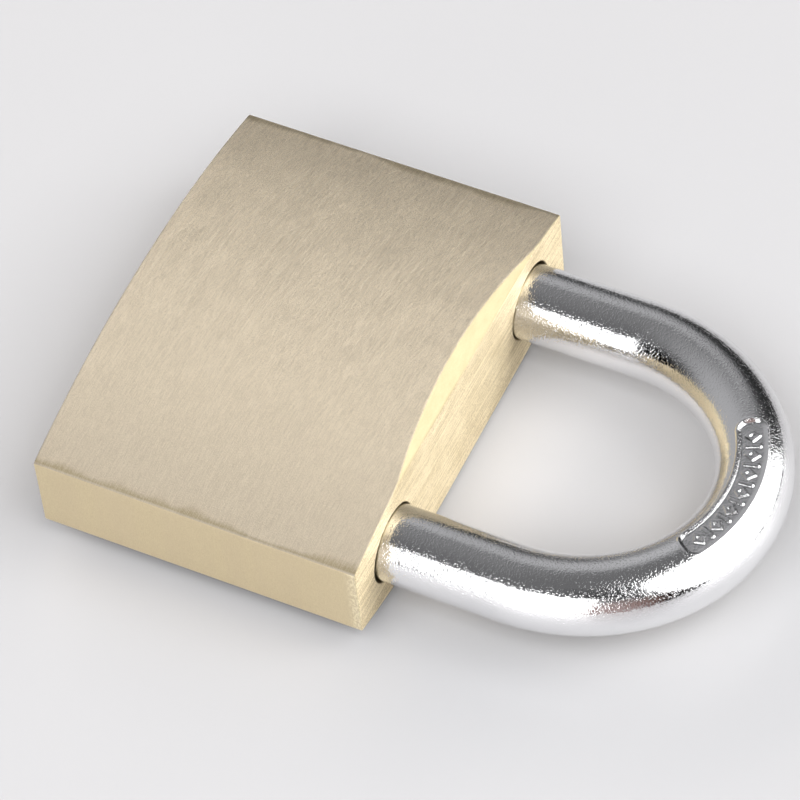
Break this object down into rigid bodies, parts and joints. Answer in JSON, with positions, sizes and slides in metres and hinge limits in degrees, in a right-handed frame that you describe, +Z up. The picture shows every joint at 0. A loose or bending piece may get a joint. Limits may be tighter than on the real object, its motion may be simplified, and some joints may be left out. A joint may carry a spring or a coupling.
{
  "type": "padlock",
  "caption": "Padlock: crowned solid brass block, round chromed U shackle, keyed pin-tumbler plug in the end face, sprung twin locking bolts. Shut and unlocked, lying on its back.",
  "frame": {"origin": "centre of the bounding box's underside, on the surface that the crowned back rests on", "axes": "+X from the keyway end to the shackle's crest, +Y across the width towards the short leg, +Z up through the front face"},
  "size_m": [0.0722, 0.05, 0.0166],
  "materials": {
    "body_brass": "satin, brushed across the width on the broad faces and ends",
    "plug_brass": "pressed in and ground flush with the block",
    "cylinder_brass": "turned, with fine concentric tool marks",
    "key_pin_brass": "turned, bright",
    "shackle_chrome": "bright chrome over slightly pitted steel",
    "bolt_steel": "ground",
    "pin_steel": "ground",
    "driver_steel": "turned",
    "spring_steel": "drawn wire"
  },
  "bodies": {
    "body": {"body": "body_brass", "bolt_bore_plug": "plug_brass", "plug_retaining_pin": "pin_steel", "shackle_retaining_pin": "pin_steel", "shackle_spring": "spring_steel", "bolt_spring": "spring_steel", "chamber_plug_1": "plug_brass", "chamber_plug_2": "plug_brass", "chamber_plug_3": "plug_brass", "chamber_plug_4": "plug_brass", "chamber_plug_5": "plug_brass", "pin_spring_1": "spring_steel", "pin_spring_2": "spring_steel", "pin_spring_3": "spring_steel", "pin_spring_4": "spring_steel", "pin_spring_5": "spring_steel"},
    "shackle": {"shackle": "shackle_chrome"},
    "plug": {"plug": "cylinder_brass", "locking_cam": "bolt_steel"},
    "toe_bolt": {"toe_bolt": "bolt_steel"},
    "heel_bolt": {"heel_bolt": "bolt_steel"},
    "driver_pin_1": {"driver_pin_1": "driver_steel"},
    "key_pin_1": {"key_pin_1": "key_pin_brass"},
    "driver_pin_2": {"driver_pin_2": "driver_steel"},
    "key_pin_2": {"key_pin_2": "key_pin_brass"},
    "driver_pin_3": {"driver_pin_3": "driver_steel"},
    "key_pin_3": {"key_pin_3": "key_pin_brass"},
    "driver_pin_4": {"driver_pin_4": "driver_steel"},
    "key_pin_4": {"key_pin_4": "key_pin_brass"},
    "driver_pin_5": {"driver_pin_5": "driver_steel"},
    "key_pin_5": {"key_pin_5": "key_pin_brass"}
  },
  "joints": [
    {"name": "shackle_lift", "type": "slide", "parent": "body", "child": "shackle", "axis": [1, 0, 0], "range_m": [0, 0.0128], "deforming": ["shackle_spring"]},
    {"name": "plug_turn", "type": "hinge", "parent": "body", "child": "plug", "pos_m": [-0.03608, 0, 0.0083], "axis": [1, 0, 0], "range_deg": [-90, 0]},
    {"name": "toe_bolt_slide", "type": "slide", "parent": "body", "child": "toe_bolt", "axis": [0, 1, 0], "range_m": [0, 0.002], "deforming": ["bolt_spring"]},
    {"name": "heel_bolt_slide", "type": "slide", "parent": "body", "child": "heel_bolt", "axis": [0, -1, 0], "range_m": [0, 0.002], "deforming": ["bolt_spring"]},
    {"name": "driver_pin_1_slide", "type": "slide", "parent": "body", "child": "driver_pin_1", "axis": [0, 1, 0], "range_m": [0, 0.0015], "stiffness_N_per_m": 120, "springref_m": -0.004, "deforming": ["pin_spring_1"]},
    {"name": "driver_pin_2_slide", "type": "slide", "parent": "body", "child": "driver_pin_2", "axis": [0, 1, 0], "range_m": [0, 0.0015], "stiffness_N_per_m": 120, "springref_m": -0.004, "deforming": ["pin_spring_2"]},
    {"name": "driver_pin_3_slide", "type": "slide", "parent": "body", "child": "driver_pin_3", "axis": [0, 1, 0], "range_m": [0, 0.0015], "stiffness_N_per_m": 120, "springref_m": -0.004, "deforming": ["pin_spring_3"]},
    {"name": "driver_pin_4_slide", "type": "slide", "parent": "body", "child": "driver_pin_4", "axis": [0, 1, 0], "range_m": [0, 0.0015], "stiffness_N_per_m": 120, "springref_m": -0.004, "deforming": ["pin_spring_4"]},
    {"name": "driver_pin_5_slide", "type": "slide", "parent": "body", "child": "driver_pin_5", "axis": [0, 1, 0], "range_m": [0, 0.0015], "stiffness_N_per_m": 120, "springref_m": -0.004, "deforming": ["pin_spring_5"]},
    {"name": "key_pin_1_slide", "type": "slide", "parent": "plug", "child": "key_pin_1", "axis": [0, 0, -1], "range_m": [0, 0.0011]},
    {"name": "key_pin_2_slide", "type": "slide", "parent": "plug", "child": "key_pin_2", "axis": [0, 0, -1], "range_m": [0, 0.0011]},
    {"name": "key_pin_3_slide", "type": "slide", "parent": "plug", "child": "key_pin_3", "axis": [0, 0, -1], "range_m": [0, 0.0011]},
    {"name": "key_pin_4_slide", "type": "slide", "parent": "plug", "child": "key_pin_4", "axis": [0, 0, -1], "range_m": [0, 0.0011]},
    {"name": "key_pin_5_slide", "type": "slide", "parent": "plug", "child": "key_pin_5", "axis": [0, 0, -1], "range_m": [0, 0.0011]}
  ],
  "couplings": [
    {"joint": "plug_turn", "follows": "toe_bolt_slide", "rad_per_m": -785.4},
    {"joint": "heel_bolt_slide", "follows": "toe_bolt_slide", "ratio": 1}
  ]
}
